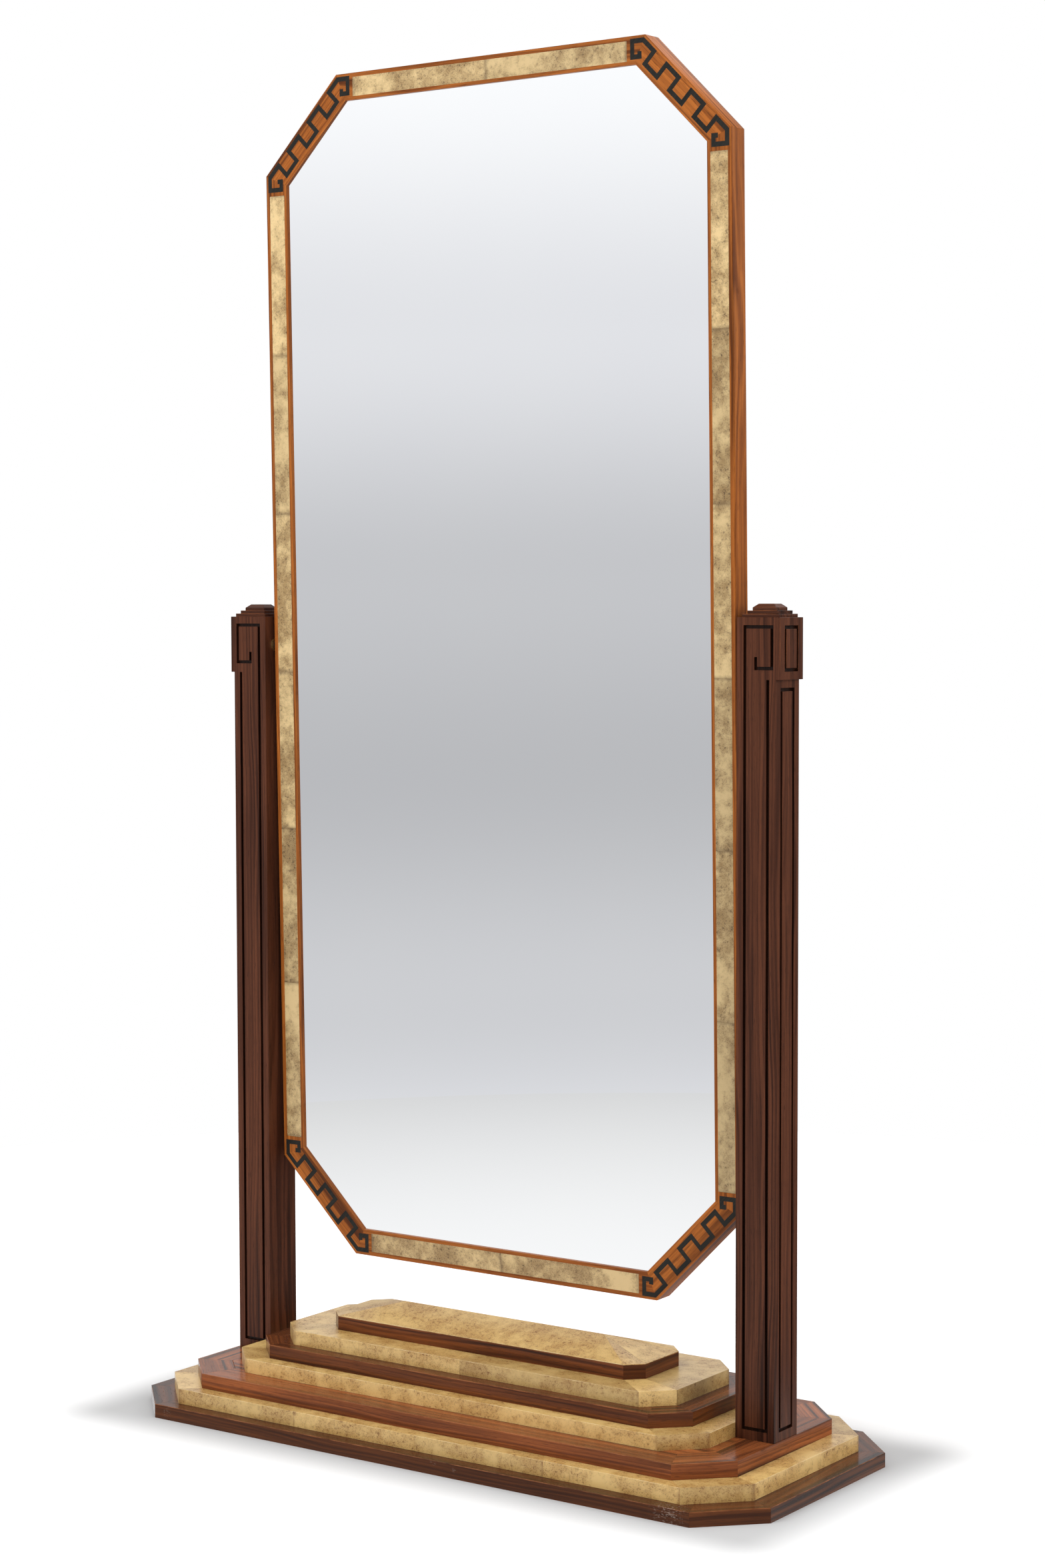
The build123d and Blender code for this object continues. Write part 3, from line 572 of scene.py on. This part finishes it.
# ---- Glass
# A 5 mm plate silvered on its back, held in the rebate by beads.
silvered, tree, shader = finish("mirror_glass")
haze = cloud(tree, put(tree, "TexCoord").outputs["Object"], 3.0, 2.0)
tree.links.new(between(tree, haze, 0.3, 0.7, 0.004, 0.012), shader.inputs["Roughness"])
tree.links.new(mixed(tree, haze, paint(246, 247, 249), paint(249, 250, 250)),
               shader.inputs["Base Color"])
shader.inputs["Metallic"].default_value = 1.0
recoat("mirror_glass", silvered)

# ---- Hidden joinery of the mirror and its back
# Pine beads, a plywood back panel, and hardwood splines in the mitres.
backing_wood = rosewood(
    "frame_core_wood", paint(150, 104, 66), paint(122, 80, 50), paint(92, 58, 36),
    bare=paint(160, 120, 80), rings=140.0, streaks=0.35, worn=0.0, polish=0.5,
    turned=(0, math.pi / 2, 0),
)
for node in ("glazing_beads", "back_panel", "mitre_splines"):
    recoat(node, backing_wood)


# ---- Metal and leather
# Brass bushes and inserts, steel pins and screws, and a leather friction washer at each pivot.
def metal(name, colour, tarnish, roughness):
    """Metal with cloudy tarnish and fine turning marks."""
    material, tree, shader = finish(name)
    place = put(tree, "TexCoord").outputs["Object"]
    patch = between(tree, cloud(tree, place, 240.0, 4.0, 0.6), 0.35, 0.7)
    tree.links.new(mixed(tree, patch, colour, tarnish), shader.inputs["Base Color"])
    tree.links.new(between(tree, patch, 0, 1, roughness, roughness + 0.2),
                   shader.inputs["Roughness"])
    lines = cloud(tree, stretched(tree, place, (3000, 300, 300)), 1.0, 1.0)
    bump = put(tree, "Bump", {"Strength": 0.1, "Distance": 0.0001, "Height": lines})
    tree.links.new(bump.outputs[0], shader.inputs["Normal"])
    shader.inputs["Metallic"].default_value = 1.0
    return material


brass = metal("brass", paint(232, 208, 146), paint(170, 140, 86), 0.34)
steel = metal("steel", paint(178, 178, 180), paint(120, 118, 116), 0.3)
washer_leather, tree, shader = finish("washer_leather")
place = put(tree, "TexCoord").outputs["Object"]
pebble = cloud(tree, place, 900.0, 3.0, 0.6)
tree.links.new(mixed(tree, pebble, paint(62, 42, 32), paint(38, 26, 20)),
               shader.inputs["Base Color"])
shader.inputs["Roughness"].default_value = 0.7
for node in ("left_pivot_bush", "right_pivot_bush", "left_stile_insert", "right_stile_insert"):
    recoat(node, brass)
for node in ("left_pivot_pin", "right_pivot_pin", "tier_screws", "post_bolts", "post_washers",
             "post_inserts", "back_panel_screws"):
    recoat(node, steel)
for node in ("left_friction_washer", "right_friction_washer"):
    recoat(node, washer_leather)


# ---- Floor, backdrop and light
# A pale studio floor with a painted contact shadow around the base, under an even white sky, with
# large soft lamps in front, above and at the right. The sky that the glass reflects darkens
# towards the horizon, as a studio's far wall does.
floor_reach = 2.5
disc = bmesh.new()
bmesh.ops.create_circle(disc, cap_ends=True, segments=96, radius=floor_reach)
floor_mesh = bpy.data.meshes.new("studio_floor")
disc.to_mesh(floor_mesh)
disc.free()
studio_floor = bpy.data.objects.new("studio_floor", floor_mesh)
scene.collection.objects.link(studio_floor)
floor_finish, tree, shader = finish("studio_floor")
shader.inputs["Roughness"].default_value = 0.9
shader.inputs["Specular IOR Level"].default_value = 0.0
place = put(tree, "TexCoord").outputs["Object"]
path = put(tree, "LightPath").outputs
half_base = (model_bounds[1][0], model_bounds[1][1], 0)
aside = place
for step, other in (("ABSOLUTE", (0, 0, 0)), ("SUBTRACT", half_base), ("MAXIMUM", (0, 0, 0))):
    aside = put(tree, "VectorMath", {0: aside, 1: other}, operation=step).outputs[0]
from_base = put(tree, "VectorMath", {0: aside}, operation="LENGTH").outputs["Value"]
from_middle = put(tree, "VectorMath", {0: place}, operation="LENGTH").outputs["Value"]
# Painted shadow: close around the base the floor's colour is darker and its glow for the camera
# weaker, a contact shadow painted into the floor.
tree.links.new(between(tree, from_base, 0.0, 0.09, 0.56, 0.8), shader.inputs["Base Color"])
floor_glow_with_painted_shadow = between(tree, from_base, 0.0, 0.22, 0.04, 0.5)
fades = between(tree, from_middle, 0.7, 3.4, 1.0, 0.64)
in_front = between(tree, put(tree, "SeparateXYZ", {0: place}).outputs[1], 0.1, 0.6, 1.0, 0.2)
direct = put(tree, "Emission", {"Color": (1, 1, 1, 1), "Strength": floor_glow_with_painted_shadow})
reflected = put(tree, "Emission", {"Strength": sums(tree, "MULTIPLY", fades, in_front)})
bright = put(tree, "AddShader", {0: shader.outputs[0], 1: direct.outputs[0]})
seen = put(tree, "MixShader", {0: path["Is Camera Ray"], 1: shader.outputs[0],
                               2: bright.outputs[0]})
choice = put(tree, "MixShader", {0: path["Is Glossy Ray"], 1: seen.outputs[0],
                                 2: reflected.outputs[0]})
tree.links.new(choice.outputs[0], tree.nodes["Material Output"].inputs["Surface"])
floor_mesh.materials.append(floor_finish)

# What the glass reflects: white high up and on the floor in front, and a soft grey between.
sky = bpy.data.worlds.new("studio_sky")
scene.world = sky
sky.use_nodes = True
tree = sky.node_tree
path = put(tree, "LightPath").outputs
towards = put(tree, "SeparateXYZ", {0: put(tree, "TexCoord").outputs["Generated"]}).outputs
stretch, horizon_at = 2.0, 0.6
wall = put(tree, "ValToRGB", {"Fac": sums(tree, "MULTIPLY_ADD", towards[2], stretch, horizon_at)})
wall.color_ramp.interpolation = "EASE"
levels = {-0.25: 1.0, -0.16: 0.66, -0.085: 0.53, -0.02: 0.60, 0.06: 0.82, 0.15: 1.05}
for k, (rise, level) in enumerate(levels.items()):
    at = rise * stretch + horizon_at
    step = wall.color_ramp.elements[k] if k < 2 else wall.color_ramp.elements.new(at)
    step.position = at
    step.color = (level * 0.985, level * 0.99, min(level * 1.02, 1.05), 1)
behind = between(tree, towards[1], -0.3, 0.15)
back_wall = between(tree, towards[2], -0.02, 0.14, 0.12, 0.85)
far_wall = mixed(tree, behind, wall.outputs[0], back_wall)
plain_level = 0.62
lit = mixed(tree, path["Is Glossy Ray"], (plain_level, plain_level, plain_level, 1), far_wall)
shown = mixed(tree, path["Is Camera Ray"], lit, (1, 1, 1, 1))
background = tree.nodes["Background"]
tree.links.new(shown, background.inputs["Color"])
background.inputs["Strength"].default_value = 1.0


def soft_lamp(name, place, aim, size, power):
    """A large square lamp that doesn't show in the picture."""
    data = bpy.data.lights.new(name, "AREA")
    data.shape = "SQUARE"
    data.size = size
    data.energy = power
    lamp = bpy.data.objects.new(name, data)
    lamp.location = place
    lamp.rotation_euler = (Vector(aim) - Vector(place)).to_track_quat("-Z", "Y").to_euler()
    lamp.visible_camera = False
    lamp.visible_glossy = False
    scene.collection.objects.link(lamp)


soft_lamp("front_lamp", (-1.6, -4.2, 3.6), (0, 0, 0.8), 2.4, 95)
soft_lamp("top_lamp", (0.3, -0.4, 4.4), (0, 0, 0), 2.6, 60)
soft_lamp("right_lamp", (4.2, 0.6, 2.4), (0.3, 0, 1.0), 2.0, 60)
